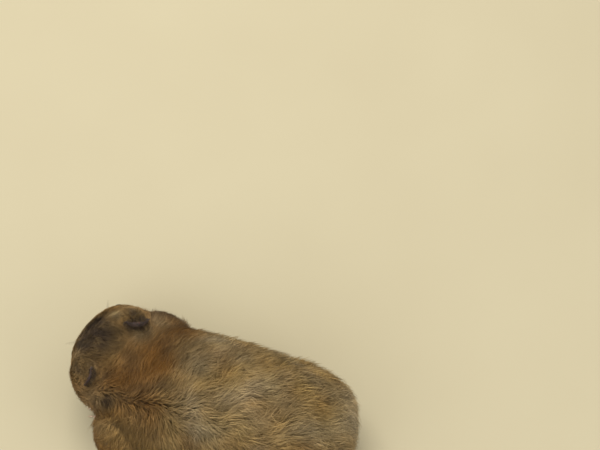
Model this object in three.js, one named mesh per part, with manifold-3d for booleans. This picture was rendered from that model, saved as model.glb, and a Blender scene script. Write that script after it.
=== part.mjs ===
// A Syrian hamster crouching to forage, life size, in millimetres, +Z up.
// It faces -Y with its own left side at +X, its head turned to its right and bent down to the floor.
// The outer surface is the outline of the coat, out to the tips of the fur.
import * as THREE from "three";
import { mergeVertices } from "three/addons/utils/BufferGeometryUtils.js";
import Module from "manifold-3d";

const wasm = await Module();
wasm.setup();

// ---- driving dimensions ----
const CUT = 0.3; // gap between neighbouring parts
const BACK_HEIGHT = 54.5; // floor to the top of the arched back
const BODY_WIDTH = 61.5; // across the flanks
const RUMP_END = 59.5; // how far the rump reaches behind the middle of the body
const BELLY_GAP = 2.6; // floor to the belly fur
const WIDEST = 20.5; // height at which the flanks bulge most
const HEAD_YAW = 32; // degrees the head turns to the animal's right
const HEAD_PITCH = 55; // degrees the nose points below level
const HEAD_ROLL = 10; // degrees the head leans to its left
const CROWN = new THREE.Vector3(-9.9, -44.3, 27); // axis of the head between the ears
const HEAD_REACH = 29; // crown to the tip of the muzzle
const CHEEK = 20.2; // half width of the head over the cheek pouches
const POUCH = 1.8; // how much further the left cheek pouch bulges than the right
const MUZZLE_FROM = 18; // where the muzzle parts from the head, from the crown
const EAR = {
  along: -3.5,
  out: 15,
  up: 6.8,
  rise: 7,
  width: 5.6,
  depth: 4,
  height: 8.4,
  wall: 0.8,
  turn: 35, // degrees its hollow faces outward from the nose
  lean: -36, // degrees it is laid back
  roll: 20, // degrees its tip leans towards the rump
  lip: 0.6, // how far ahead of its middle the rim lies at the top
  cup: 14, // degrees by which the rim falls back towards the foot of the ear
};
const EYE = { along: 11.8, out: 11.4, up: 5, radius: 3.4 };
const NOSE = { along: 28.2, up: 1.2, width: 2.2, length: 1.7, height: 1.5 };
const NECK = {
  back: new THREE.Vector3(-1, -26, 26),
  backYaw: 6,
  backPitch: 14,
  frontAlong: -12.5,
  frontYaw: 14,
  frontPitch: 12,
};
const HAUNCH = { at: [20.2, 32, 18.6], size: [11.4, 18, 17], tip: -10 };
const SHOULDER = { at: [21, -29.6, 20], size: [11.6, 12, 14.5], tip: 12 };
const ELBOW = [24, -25.5, 11];
const FOREARM = [6.4, 5, 3.1]; // half its thickness at the elbow, halfway and at the wrist
const LEFT_PAW = { wrist: [12.5, -38.5], heading: 8 };
const RIGHT_PAW = { wrist: [-27, -36.5], heading: 4 };
const FORE_PAW = { toes: 4, length: 11, width: 6.6, height: 4.6, fan: 46 };
const HIND_FOOT = { heel: [20.5, 41], toes: 5, length: 19, width: 6.8, height: 5.2, fan: 34, splay: 7 };
const TOE_SHARE = 0.42; // of a foot's length
const TAIL = { root: [-2, 52, 15], tip: [-2.4, 60.5, 8.5], thick: 2.1 };
const ROUND_ABOVE = 2.15; // 2 makes a true oval, more a squarer one
const BLUNT_BELLY = 3;
const BLUNT_JAW = 2.3;
const FAR = 200; // reach of the blocks that part the body

const COAT = new THREE.MeshStandardMaterial({ color: 0xa4773f, roughness: 0.9, metalness: 0 });
const EAR_SKIN = new THREE.MeshStandardMaterial({ color: 0x4d403a, roughness: 0.7, metalness: 0 });
const PINK_SKIN = new THREE.MeshStandardMaterial({ color: 0xc99a8a, roughness: 0.6, metalness: 0 });
const EYE_BLACK = new THREE.MeshStandardMaterial({ color: 0x0b0908, roughness: 0.08, metalness: 0 });

// ---- solids ----

// A closed three.js geometry as a manifold-3d solid.
function solid(geometry) {
  const bare = geometry.clone();
  bare.deleteAttribute("normal");
  bare.deleteAttribute("uv");
  const merged = mergeVertices(bare, 1e-4);
  return new wasm.Manifold(
    new wasm.Mesh({
      numProp: 3,
      vertProperties: new Float32Array(merged.attributes.position.array),
      triVerts: new Uint32Array(merged.index.array),
    }),
  );
}

function join(solids) {
  return solids.reduce((whole, piece) => whole.add(piece));
}

// A solid back as a named mesh.
function namedMesh(name, body, material) {
  const { vertProperties, triVerts, numProp } = body.getMesh();
  const positions = new Float32Array((vertProperties.length / numProp) * 3);
  for (let v = 0; v < positions.length / 3; v++)
    positions.set(vertProperties.subarray(v * numProp, v * numProp + 3), v * 3);
  const geometry = new THREE.BufferGeometry();
  geometry.setAttribute("position", new THREE.BufferAttribute(positions, 3));
  geometry.setIndex(new THREE.BufferAttribute(new Uint32Array(triVerts), 1));
  geometry.computeVertexNormals();
  const mesh = new THREE.Mesh(geometry, material);
  mesh.name = name;
  return mesh;
}

// A closed skin over rings of points, with a point at each end.
function skinOver(rings, first, last) {
  const sides = rings[0].length;
  const points = [first, ...rings.flat(), last];
  const faces = [];
  for (let k = 0; k < sides; k++) {
    const next = (k + 1) % sides;
    faces.push(0, 1 + next, 1 + k);
    for (let r = 0; r + 1 < rings.length; r++) {
      const near = 1 + r * sides;
      const far = near + sides;
      faces.push(near + k, near + next, far + next, near + k, far + next, far + k);
    }
    const end = 1 + (rings.length - 1) * sides;
    faces.push(end + k, end + next, points.length - 1);
  }
  const geometry = new THREE.BufferGeometry().setFromPoints(points);
  geometry.setIndex(faces);
  return solid(geometry);
}

// The left, ahead and up of a piece turned to its right by yaw, tipped nose-down by pitch and leaned to its
// left by roll, in degrees.
function headingOf(yaw, pitch, roll = 0) {
  const { degToRad } = THREE.MathUtils;
  const turned = new THREE.Euler(degToRad(pitch), degToRad(roll), degToRad(-yaw), "ZXY");
  const left = new THREE.Vector3();
  const back = new THREE.Vector3();
  const up = new THREE.Vector3();
  new THREE.Matrix4().makeRotationFromEuler(turned).extractBasis(left, back, up);
  return { left, ahead: back.negate(), up };
}

const HEAD = headingOf(HEAD_YAW, HEAD_PITCH, HEAD_ROLL);

// A place on the head: along its axis from the crown, out to its left, and up from the axis.
function onHead(along, out, up) {
  return CROWN.clone()
    .addScaledVector(HEAD.ahead, along)
    .addScaledVector(HEAD.left, out)
    .addScaledVector(HEAD.up, up);
}

// One body lofted through rings of { middle, yaw, pitch, roll, side, up, down, blunt }: each is an oval that
// is rounder above its middle and as blunt as stated below it.
function loft(rows, sides, steps, grow) {
  const spline = (pick) => new THREE.CatmullRomCurve3(rows.map(pick));
  const middles = spline((row) => row.middle);
  const spreads = spline((row) => new THREE.Vector3(row.side + grow, row.up + grow, row.down + grow));
  const headings = spline((row) => new THREE.Vector3(row.yaw, row.pitch, row.roll));
  const shapes = spline((row) => new THREE.Vector3(row.blunt, 0, 0));
  const rings = [];
  for (let s = 0; s <= steps; s++) {
    const middle = middles.getPoint(s / steps);
    const spread = spreads.getPoint(s / steps);
    const heading = headings.getPoint(s / steps);
    const { left, up } = headingOf(heading.x, heading.y, heading.z);
    const blunt = shapes.getPoint(s / steps).x;
    const ring = [];
    for (let k = 0; k < sides; k++) {
      const turn = (2 * Math.PI * k) / sides;
      const power = 2 / (Math.sin(turn) > 0 ? ROUND_ABOVE : blunt);
      const across = Math.sign(Math.cos(turn)) * Math.abs(Math.cos(turn)) ** power;
      const rise = Math.sign(Math.sin(turn)) * Math.abs(Math.sin(turn)) ** power;
      const height = rise * (rise > 0 ? spread.y : spread.z);
      ring.push(middle.clone().addScaledVector(left, across * spread.x).addScaledVector(up, height));
    }
    rings.push(ring);
  }
  return skinOver(rings, middles.getPoint(0), middles.getPoint(1));
}

// A tapering limb with round ends along a smooth path through joints of [place, radius].
function limb(joints, sides, steps, grow = 0) {
  const path = new THREE.CatmullRomCurve3(joints.map(([place]) => place));
  const girth = new THREE.CatmullRomCurve3(joints.map(([, r]) => new THREE.Vector3(r + grow, 0, 0)));
  const length = path.getLength();
  const rings = [];
  for (let s = 1; s < steps; s++) {
    const t = 0.5 - 0.5 * Math.cos((Math.PI * s) / steps);
    const radius = girth.getPoint(t).x;
    const fromEnd = length * Math.min(t, 1 - t);
    const slack = Math.max(0, 1 - fromEnd / radius);
    const ahead = path.getTangent(t);
    const side = new THREE.Vector3(0, 0, 1).cross(ahead).normalize();
    const over = ahead.clone().cross(side);
    const ring = [];
    for (let k = 0; k < sides; k++) {
      const turn = (2 * Math.PI * k) / sides;
      const reach = radius * Math.sqrt(1 - slack * slack);
      ring.push(
        path
          .getPoint(t)
          .addScaledVector(side, reach * Math.cos(turn))
          .addScaledVector(over, reach * Math.sin(turn)),
      );
    }
    rings.push(ring);
  }
  return skinOver(rings, path.getPoint(0), path.getPoint(1));
}

// An oval ball with its half sizes along its own left, back and up, each larger by grow.
function oval(place, [across, along, high], { yaw = 0, pitch = 0, roll = 0, grow = 0, round = 16 } = {}) {
  const { left, ahead, up } = headingOf(yaw, pitch, roll);
  const matrix = new THREE.Matrix4().makeBasis(
    left.clone().multiplyScalar(across + grow),
    ahead.clone().multiplyScalar(-along - grow),
    up.clone().multiplyScalar(high + grow),
  );
  matrix.setPosition(place);
  return solid(new THREE.SphereGeometry(1, round, Math.round(round * 0.7)).applyMatrix4(matrix));
}

// A box from its middle and size, square to the axes or turned.
function block(place, size, { yaw = 0, pitch = 0 } = {}) {
  const { left, ahead, up } = headingOf(yaw, pitch);
  const matrix = new THREE.Matrix4().makeBasis(left, ahead.negate(), up).setPosition(place);
  return solid(new THREE.BoxGeometry(...size).applyMatrix4(matrix));
}

const mirrored = (side, [x, y, z]) => new THREE.Vector3(side * x, y, z);

// ---- the body, rump to muzzle ----

const HALF_WIDTH = BODY_WIDTH / 2;
const RISE = BACK_HEIGHT - WIDEST;
const DROP = WIDEST - BELLY_GAP;

// A ring of the trunk, its width and its reach up and down as shares of the fullest ring's.
function trunkRing(x, y, share, topShare, bottomShare, yaw = 0, pitch = 0, lift = 0) {
  return {
    middle: new THREE.Vector3(x, y, WIDEST + lift),
    yaw,
    pitch,
    roll: 0,
    side: HALF_WIDTH * share,
    up: RISE * topShare,
    down: DROP * bottomShare,
    blunt: BLUNT_BELLY,
  };
}

// A ring square to the axis of the head.
function headRing(along, side, up, down) {
  const turn = { yaw: HEAD_YAW, pitch: HEAD_PITCH, roll: HEAD_ROLL, blunt: BLUNT_JAW };
  return { middle: onHead(along, 0, 0), ...turn, side, up, down };
}

// Rump, trunk, neck, head and muzzle in one.
function wholeBody(grow = 0) {
  const rows = [
    trunkRing(-2, RUMP_END, 0.06, 0.06, 0.06, 0, 0, 2),
    trunkRing(-2, RUMP_END - 1, 0.33, 0.28, 0.28, 0, 0, 2),
    trunkRing(-2, RUMP_END - 4, 0.6, 0.49, 0.5, 0, 0, 1.6),
    trunkRing(-1.5, RUMP_END - 9, 0.8, 0.675, 0.7, 0, 0, 1),
    trunkRing(-1, RUMP_END - 17, 0.92, 0.86, 0.88, 0, 0, 0.4),
    trunkRing(0, RUMP_END - 28, 0.965, 0.975, 0.97),
    trunkRing(0, 17, 0.985, 1, 1),
    trunkRing(0, 2, 1, 0.975, 1),
    trunkRing(0, -12, 0.965, 0.89, 0.97),
    trunkRing(-0.5, -23, 0.885, 0.76, 0.92, 2, 5, 1),
    trunkRing(-2.5, -33, 0.79, 0.58, 0.84, 10, 20, 4),
    { ...headRing(-7, CHEEK * 1.14, 14, 18), middle: onHead(-7, POUCH, 0.6), yaw: 24, pitch: 42, roll: 6 },
    { ...headRing(0, CHEEK * 1.04, 13.4, 15.5), middle: onHead(0, POUCH / 2, 0) },
    headRing(6, CHEEK * 0.96, 13.1, 13.6),
    headRing(12, CHEEK * 0.8, 12, 11.6),
    headRing(17, CHEEK * 0.59, 10.1, 9.8),
    headRing(21.5, CHEEK * 0.46, 8.1, 8),
    headRing(25.5, CHEEK * 0.38, 6.2, 6.2),
    headRing(HEAD_REACH - 1, CHEEK * 0.25, 3.9, 4),
    headRing(HEAD_REACH, 0.8, 0.7, 0.7),
  ];
  return loft(rows, 24, 30, grow);
}

// ---- feet ----

// A foot on the floor: a low sole and its toes, fanned and slightly arched, pointing ahead by heading.
function foot(heel, heading, { toes, length, width, height, fan }, grow = 0) {
  const { left, ahead } = headingOf(heading, 0);
  const reach = length * TOE_SHARE;
  const soleLength = length - reach * 0.8;
  const middle = heel.clone().addScaledVector(ahead, soleLength / 2).setZ(height * 0.4);
  const sole = oval(middle, [width / 2, soleLength / 2, height * 0.55], { yaw: heading, grow, round: 10 });
  const radius = width * 0.145;
  const made = [sole];
  for (let k = 0; k < toes; k++) {
    const place = k / (toes - 1) - 0.5;
    const share = 1 - 0.9 * Math.abs(place) ** 1.6;
    const way = headingOf(heading - place * fan, 0).ahead;
    const start = heel
      .clone()
      .addScaledVector(ahead, soleLength * 0.66)
      .addScaledVector(left, place * width * 0.72);
    const knuckle = start.clone().addScaledVector(way, (reach + soleLength * 0.18) * 0.62 * share);
    const tip = start.clone().addScaledVector(way, (reach + soleLength * 0.18) * share);
    const joints = [
      [start.setZ(radius * 1.2), radius],
      [knuckle.setZ(radius * 1.4), radius],
      [tip.setZ(radius * 0.75), radius * 0.8],
    ];
    made.push(limb(joints, 6, 5, grow));
  }
  return join(made);
}

const UNDERFLOOR = block(new THREE.Vector3(0, 0, -FAR / 2), [FAR * 2, FAR * 2, FAR]);

// Everything ahead of a plane through place, as a large block.
function aheadOf(place, yaw, pitch, gap) {
  const { ahead } = headingOf(yaw, pitch);
  const middle = place.clone().addScaledVector(ahead, FAR / 2 + gap);
  return block(middle, [FAR, FAR, FAR], { yaw, pitch });
}

const neckFront = [onHead(NECK.frontAlong, 0, 0), NECK.frontYaw, NECK.frontPitch];
const headRoom = wholeBody(CUT).intersect(aheadOf(...neckFront, -CUT / 2));

// ---- parts on each side: +1 is the animal's left, -1 its right ----

// An ear is a thin cupped petal laid back on the nape, with its foot in the head and a socket round it.
function earPieces(side) {
  const yaw = HEAD_YAW - side * EAR.turn;
  const roll = side * EAR.roll;
  const { ahead, up } = headingOf(yaw, EAR.lean, roll);
  const place = onHead(EAR.along, side * EAR.out, EAR.up).addScaledVector(up, EAR.rise);
  const size = [EAR.width, EAR.depth, EAR.height];
  const hollowSize = size.map((half) => half - EAR.wall);
  const turn = { yaw, pitch: EAR.lean, roll, round: 14 };
  const hollowPlace = place.clone().addScaledVector(ahead, EAR.wall * 0.6);
  const top = place.clone().addScaledVector(up, EAR.height).addScaledVector(ahead, EAR.lip);
  const petal = (grow) =>
    oval(place, size, { ...turn, grow })
      .subtract(oval(hollowPlace, hollowSize, { ...turn, grow: -grow }))
      .subtract(aheadOf(top, yaw, EAR.lean + EAR.cup, grow));
  return { shell: petal(0), socket: petal(CUT) };
}

function eyePieces(side) {
  const place = onHead(EYE.along, side * EYE.out, EYE.up);
  const size = [EYE.radius, EYE.radius, EYE.radius];
  return { ball: oval(place, size, { round: 12 }), socket: oval(place, size, { grow: CUT, round: 12 }) };
}

// The haunch and its long foot.
function hindLeg(side) {
  const heel = mirrored(side, [...HIND_FOOT.heel, 0]);
  const heading = -side * HIND_FOOT.splay;
  const sole = foot(heel, heading, HIND_FOOT).subtract(UNDERFLOOR);
  const clearOfFoot = foot(heel, heading, HIND_FOOT, CUT);
  const place = mirrored(side, HAUNCH.at);
  return {
    leg: oval(place, HAUNCH.size, { pitch: HAUNCH.tip, round: 16 }).subtract(clearOfFoot),
    legRoom: oval(place, HAUNCH.size, { pitch: HAUNCH.tip, grow: CUT, round: 16 }),
    foot: sole,
    footRoom: clearOfFoot,
  };
}

// Shoulder and forearm down to the wrist, and the paw ahead of it.
function foreLeg(side) {
  const paw = side > 0 ? LEFT_PAW : RIGHT_PAW;
  const wrist = new THREE.Vector3(...paw.wrist, 0);
  const sole = foot(wrist, paw.heading, FORE_PAW).subtract(UNDERFLOOR);
  const clearOfFoot = foot(wrist, paw.heading, FORE_PAW, CUT);
  const elbow = mirrored(side, ELBOW);
  const wristTop = wrist.clone().setZ(FORE_PAW.height * 0.75);
  const arm = (grow) =>
    join([
      oval(mirrored(side, SHOULDER.at), SHOULDER.size, { pitch: SHOULDER.tip, grow, round: 14 }),
      limb(FOREARM.map((thick, k) => [elbow.clone().lerp(wristTop, k / 2), thick]), 10, 7, grow),
    ]);
  return {
    leg: arm(0).subtract(clearOfFoot).subtract(headRoom),
    legRoom: arm(CUT),
    foot: sole,
    footRoom: clearOfFoot,
  };
}

// The bare stub of a tail, low on the rump.
function tailPiece(grow = 0) {
  const root = new THREE.Vector3(...TAIL.root);
  const tip = new THREE.Vector3(...TAIL.tip);
  const bend = root.clone().lerp(tip, 0.55).add(new THREE.Vector3(0, 0.8, 0.9));
  return limb([[root, TAIL.thick], [bend, TAIL.thick * 0.8], [tip, TAIL.thick * 0.5]], 9, 7, grow);
}

// ---- the animal ----

const hamster = new THREE.Group();
const body = wholeBody();
const sides = { left: 1, right: -1 };
const rooms = [tailPiece(CUT)];
const legRooms = []; // what the neck and trunk leave room for, and the head doesn't
for (const [word, side] of Object.entries(sides)) {
  const ear = earPieces(side);
  const eye = eyePieces(side);
  const hind = hindLeg(side);
  const fore = foreLeg(side);
  hamster.add(namedMesh(`${word}_ear`, ear.shell, EAR_SKIN));
  hamster.add(namedMesh(`${word}_eye`, eye.ball, EYE_BLACK));
  hamster.add(namedMesh(`${word}_hind_leg`, hind.leg, COAT));
  hamster.add(namedMesh(`${word}_hind_foot`, hind.foot, PINK_SKIN));
  hamster.add(namedMesh(`${word}_foreleg`, fore.leg, COAT));
  hamster.add(namedMesh(`${word}_forepaw`, fore.foot, PINK_SKIN));
  rooms.push(ear.socket, eye.socket, hind.footRoom, fore.footRoom);
  legRooms.push(hind.legRoom, fore.legRoom);
}
const nosePlace = onHead(NOSE.along, 0, NOSE.up);
const noseSize = [NOSE.width, NOSE.length, NOSE.height];
const noseTurn = { yaw: HEAD_YAW, pitch: HEAD_PITCH, roll: HEAD_ROLL, round: 10 };
rooms.push(oval(nosePlace, noseSize, { ...noseTurn, grow: CUT }));

const bare = body.subtract(join(rooms));
const neckBack = [NECK.back, NECK.backYaw, NECK.backPitch];
const muzzleBack = [onHead(MUZZLE_FROM, 0, 0), HEAD_YAW, HEAD_PITCH];
const behindHead = bare.subtract(aheadOf(...neckFront, -CUT / 2)).subtract(join(legRooms));
const parts = {
  trunk: behindHead.subtract(aheadOf(...neckBack, -CUT / 2)),
  neck: behindHead.intersect(aheadOf(...neckBack, CUT / 2)),
  head: bare.intersect(aheadOf(...neckFront, CUT / 2)).subtract(aheadOf(...muzzleBack, -CUT / 2)),
  muzzle: bare.intersect(aheadOf(...muzzleBack, CUT / 2)),
};
for (const [name, piece] of Object.entries(parts)) hamster.add(namedMesh(name, piece, COAT));
hamster.add(namedMesh("nose", oval(nosePlace, noseSize, noseTurn), PINK_SKIN));
hamster.add(namedMesh("tail", tailPiece().subtract(UNDERFLOOR), PINK_SKIN));

// The origin is under the middle of the animal, on the floor.
const bounds = new THREE.Box3().setFromObject(hamster);
const middle = bounds.getCenter(new THREE.Vector3());
hamster.position.set(-middle.x, -middle.y, -bounds.min.z);

export default hamster;
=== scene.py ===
# A golden Syrian hamster, life size, crouched to forage with its nose down at the floor.
# One skin is made over the solids of flesh, and lies inside them by the depth of the coat.
# The coat is grown on it as small solid locks whose tips reach the solids' own surface.
# Lengths are in millimetres, and become metres where a mesh is written.
import math

import bmesh
import bpy
import numpy as np
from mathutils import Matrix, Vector
from mathutils.bvhtree import BVHTree
from mathutils.kdtree import KDTree


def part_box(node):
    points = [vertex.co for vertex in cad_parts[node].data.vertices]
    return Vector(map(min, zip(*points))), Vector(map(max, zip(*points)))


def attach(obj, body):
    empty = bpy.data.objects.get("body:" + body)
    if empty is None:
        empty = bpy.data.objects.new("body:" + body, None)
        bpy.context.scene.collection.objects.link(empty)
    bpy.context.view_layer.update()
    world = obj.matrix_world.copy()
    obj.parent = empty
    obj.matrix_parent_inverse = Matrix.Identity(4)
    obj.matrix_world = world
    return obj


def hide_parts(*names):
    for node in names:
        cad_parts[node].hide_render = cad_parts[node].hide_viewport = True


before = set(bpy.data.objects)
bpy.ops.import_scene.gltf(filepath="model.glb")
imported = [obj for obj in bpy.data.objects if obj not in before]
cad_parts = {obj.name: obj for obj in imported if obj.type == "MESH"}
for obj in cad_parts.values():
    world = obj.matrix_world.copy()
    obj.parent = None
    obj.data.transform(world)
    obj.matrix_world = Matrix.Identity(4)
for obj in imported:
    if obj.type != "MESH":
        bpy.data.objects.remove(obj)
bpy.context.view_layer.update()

MM = 0.001  # a millimetre in metres
SIDES = {"left": 1, "right": -1}
EYES = ["left_eye", "right_eye"]
FLESH = sorted(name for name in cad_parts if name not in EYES)

# ---- the skin ----
VOXEL = 0.42  # spacing of the skin's points where it is finest
BODY_TRIANGLES = 95_000  # on what the coat covers
CLOSE = {"ear": 0.2, "forepaw": 0, "hind_foot": 0, "nose": 0.2, "tail": 0.2, "eye": 0.1}
CLOSE_WIDE = 0.4  # growth of the other solids, which closes the cuts between them
EYE_ALONG = 11.8  # from the crown to the line of the eyes, along the head
EYE_UP = 5.0  # and above the head's axis
NOSE_DROP = 13.0  # degrees the nose lies below the eyes' level
EYE_RADIUS = 3.3
LID = 0.4  # thickness of the eyelids' edge
EYE_OPENING = 60  # degrees from the middle of the eye to the edge of the lids
EDGE_REACH = 3.5  # degrees within which the skin's points line up on that edge
EYES_LOOK = (0.28, 0.86, 0.42)  # which way each eye looks: ahead, outwards and up
SIGHT = 125  # degrees from there past which the skin is not near the eye

# ---- feet and whiskers ----
FEET = {  # heel, turn to the right, toes, length, width and fan of the toes
    "left_forepaw": ((12.5, -38.5), 8, 4, 11, 6.6, 46),
    "right_forepaw": ((-27, -36.5), 4, 4, 11, 6.6, 46),
    "left_hind_foot": ((20.5, 41), -7, 5, 19, 6.8, 34),
    "right_hind_foot": ((-20.5, 41), 7, 5, 19, 6.8, 34),
}
TOE_SHARE = 0.42  # of a foot's length
CLAW = 2.4  # length of a claw

# ---- depth of the coat on each part ----
COAT_DEPTH = {
    "trunk": 5.2,
    "neck": 4.6,
    "head": 3.4,
    "muzzle": 1.1,
    "foreleg": 2.6,
    "hind_leg": 4.2,
    "forepaw": 0.15,
    "hind_foot": 0.2,
    "ear": 0.3,
    "tail": 0.5,
    "nose": 0.08,
}
DEEPEST = {kind: 9 for kind in COAT_DEPTH} | {"tail": 0.6, "forepaw": 0.25, "hind_foot": 0.3}

# ---- locks of the coat ----
COAT_SHARE = {  # how closely the locks stand on each part
    "trunk": 1.0,
    "neck": 1.0,
    "head": 1.0,
    "muzzle": 0.9,
    "foreleg": 0.75,
    "hind_leg": 0.8,
    "forepaw": 0.3,
    "hind_foot": 0.3,
    "ear": 0.12,
    "tail": 0.3,
    "nose": 0.0,
}
BENDS = (0.0, 0.4, 1.0)  # how far along a lock its rings and its tip lie
PATCH = 0.003  # width of one lock on the coat's map
CLUMP = 11  # locks whose tips are drawn together
SWELL = (0.7, 1.0)  # width of a lock's rings, as a share of its own
PARTING = (11.4, -35.5, 37.4)  # where the coat lies open behind the left ear
RUFFLED = (-26.4, -20, 29)  # where the coat stands up behind the right cheek, with painted shade in the hollow there
WISPS = 0.1  # share of the locks that stand out past the rest
LOWEST = 0.05  # height of the lowest hair over the floor
COVER = [1.25, 3.4, 5.1, 6.3]  # layers of locks over the skin, from the thinnest coat to the deepest

# ---- patches of the coat's markings and of painted shade: strength, middle and size ----
DARK_PATCHES = [
    # The first patch is painted shade on the upper edge of the far flank; the rest are dark mottles in the
    # coat.
    (0.34, (-25, 26, 33), (6, 9, 9)),
    (0.34, (-9, -8, 44), (6, 6, 7)),
    (0.34, (6, -10, 44), (8, 9, 8)),
    (0.24, (13, -20, 43), (8, 15, 12)),
]
EAR_MARKS = (0.1, 0.3, 0.95, 0)  # how rusty, ashy, dark and pale the ears are
LIGHT_PATCHES = [(1, (-21, -2, 37), (5, 8, 7)), (1, (-3, 16, 48), (6, 8, 7))]
AMBER_PATCHES = [  # these lie on the head, in its own frame
    (1, (-12, -10.5, -1), (5, 4.5, 5)),
    (1, (-6, -17, -5), (5, 4, 5)),
    (1, (3, -15.5, 6), (7, 3.5, 3.5)),
    (0.7, (-12.5, 18.5, -2), (4.5, 5, 6)),
]


def unit(vectors):
    return vectors / np.maximum(np.linalg.norm(vectors, axis=-1, keepdims=True), 1e-9)


def soft(value, start, end):
    """0 at start and 1 at end with a smooth rise between; start may be the larger."""
    share = np.clip((value - start) / (end - start), 0, 1)
    return share * share * (3 - 2 * share)


def spot(points, centre, size):
    """1 at the centre of a soft oval spot, 0.37 at its edge and soon nothing."""
    return np.exp(-(((points - np.array(centre)) / np.array(size)) ** 2).sum(-1))


def patches(points, places):
    """The strongest of several spots, each a (strength, middle, size)."""
    return np.max([strength * spot(points, centre, size) for strength, centre, size in places], 0)


def ripple(points, size, seed, waves=9):
    """Smooth noise from about -1 to 1 whose patches are about size across."""
    draw = np.random.default_rng(seed)
    pull = unit(draw.normal(size=(waves, 3))) * draw.uniform(0.6, 1.5, (waves, 1)) * math.pi / size
    phase = draw.uniform(0, 2 * math.pi, waves)
    return np.sin(points @ pull.T + phase).sum(-1) / math.sqrt(waves)


def kind_of(node):
    return node.removeprefix("left_").removeprefix("right_")


def middle(node):
    low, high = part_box(node)
    return np.array(low + high) / 2 / MM


# ---- the head's own frame, worked out from the eyes and the nose ----
between_eyes = (middle("left_eye") + middle("right_eye")) / 2
LEFT = unit(middle("left_eye") - middle("right_eye"))
to_nose = middle("nose") - between_eyes
to_nose = unit(to_nose - LEFT * (to_nose @ LEFT))
above_nose = np.cross(to_nose, LEFT)
drop = math.radians(NOSE_DROP)
AHEAD = to_nose * math.cos(drop) + above_nose * math.sin(drop)
UP = above_nose * math.cos(drop) - to_nose * math.sin(drop)
CROWN = between_eyes - AHEAD * EYE_ALONG - UP * EYE_UP


def on_head(points):
    """Points as (along, out, up) from the crown: towards the nose, to the left, and up."""
    return (points - CROWN) @ np.stack([AHEAD, LEFT, UP], 1)


def from_head(along, out, up):
    return CROWN + AHEAD * along + LEFT * out + UP * up


def eye_way(side):
    """Which way the eye on one side looks."""
    ahead, out, up = EYES_LOOK
    return unit(LEFT * side * out + UP * up + AHEAD * ahead)


# ---- meshes ----


def mesh_object(name, points, triangles, scale=MM):
    """A new smooth object from points in millimetres and triangles."""
    mesh = bpy.data.meshes.new(name)
    mesh.vertices.add(len(points))
    mesh.vertices.foreach_set("co", (points * scale).astype(np.float32).ravel())
    mesh.loops.add(triangles.size)
    mesh.loops.foreach_set("vertex_index", triangles.astype(np.int32).ravel())
    mesh.polygons.add(len(triangles))
    mesh.polygons.foreach_set("loop_start", np.arange(0, triangles.size, 3, dtype=np.int32))
    mesh.polygons.foreach_set("use_smooth", np.ones(len(triangles), bool))
    mesh.update(calc_edges=True)
    made = bpy.data.objects.new(name, mesh)
    bpy.context.scene.collection.objects.link(made)
    return made


def finish_piece(piece, material):
    """The piece with its finish, riding on the model."""
    piece.data.materials.append(material)
    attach(piece, "root")
    return piece


def arrays_of(mesh, scale=MM):
    """A mesh's points in millimetres, and its triangles."""
    mesh.calc_loop_triangles()
    points = np.empty(len(mesh.vertices) * 3, np.float32)
    mesh.vertices.foreach_get("co", points)
    triangles = np.empty(len(mesh.loop_triangles) * 3, np.int32)
    mesh.loop_triangles.foreach_get("vertices", triangles)
    return points.reshape(-1, 3).astype(float) / scale, triangles.reshape(-1, 3)


def edges_of(triangles):
    pairs = np.concatenate([triangles[:, [0, 1]], triangles[:, [1, 2]], triangles[:, [2, 0]]])
    return np.unique(np.sort(pairs, 1), axis=0)


def blurred(values, edges, times, strength=0.5):
    """Values at the points, each drawn towards its neighbours' mean so many times."""
    flat = values.reshape(len(values), -1)
    first, second = edges.T
    count = np.bincount(first, minlength=len(flat)) + np.bincount(second, minlength=len(flat))
    count = np.maximum(count, 1)
    weight = np.broadcast_to(strength, len(flat))[:, None]
    for _ in range(times):
        total = [
            np.bincount(first, column[second], len(flat)) + np.bincount(second, column[first], len(flat))
            for column in flat.T
        ]
        flat = flat + weight * (np.stack(total, 1) / count[:, None] - flat)
    return flat.reshape(values.shape)


def smoothed(points, edges, times, strength=0.5):
    """The surface with its steps smoothed away, without shrinking its thin parts."""
    for _ in range(times):
        points = blurred(points, edges, 1, strength)
        points = blurred(points, edges, 1, -1.04 * np.asarray(strength))
    return points


def point_normals(points, triangles):
    corners = points[triangles]
    faces = np.cross(corners[:, 1] - corners[:, 0], corners[:, 2] - corners[:, 0])
    total = np.zeros_like(points)
    for corner in range(3):
        for axis in range(3):
            total[:, axis] += np.bincount(triangles[:, corner], faces[:, axis], len(points))
    return unit(total)


def one_shell(points, triangles):
    """The largest connected shell of a mesh."""
    first, second = edges_of(triangles).T
    label = np.arange(len(points))
    while True:
        lower = label.copy()
        np.minimum.at(lower, first, label[second])
        np.minimum.at(lower, second, label[first])
        lower = lower[lower]
        if (lower == label).all():
            break
        label = lower
    kept = label == np.bincount(label).argmax()
    index = np.cumsum(kept) - 1
    return points[kept], index[triangles[kept[triangles[:, 0]]]]


def nearest_on(tree, points):
    """Nearest place on a surface to each point, with its face."""
    found = [tree.find_nearest(point) for point in points.tolist()]
    return np.array([place[0][:] for place in found]), np.array([place[2] for place in found])


# ---- the skin ----


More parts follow.
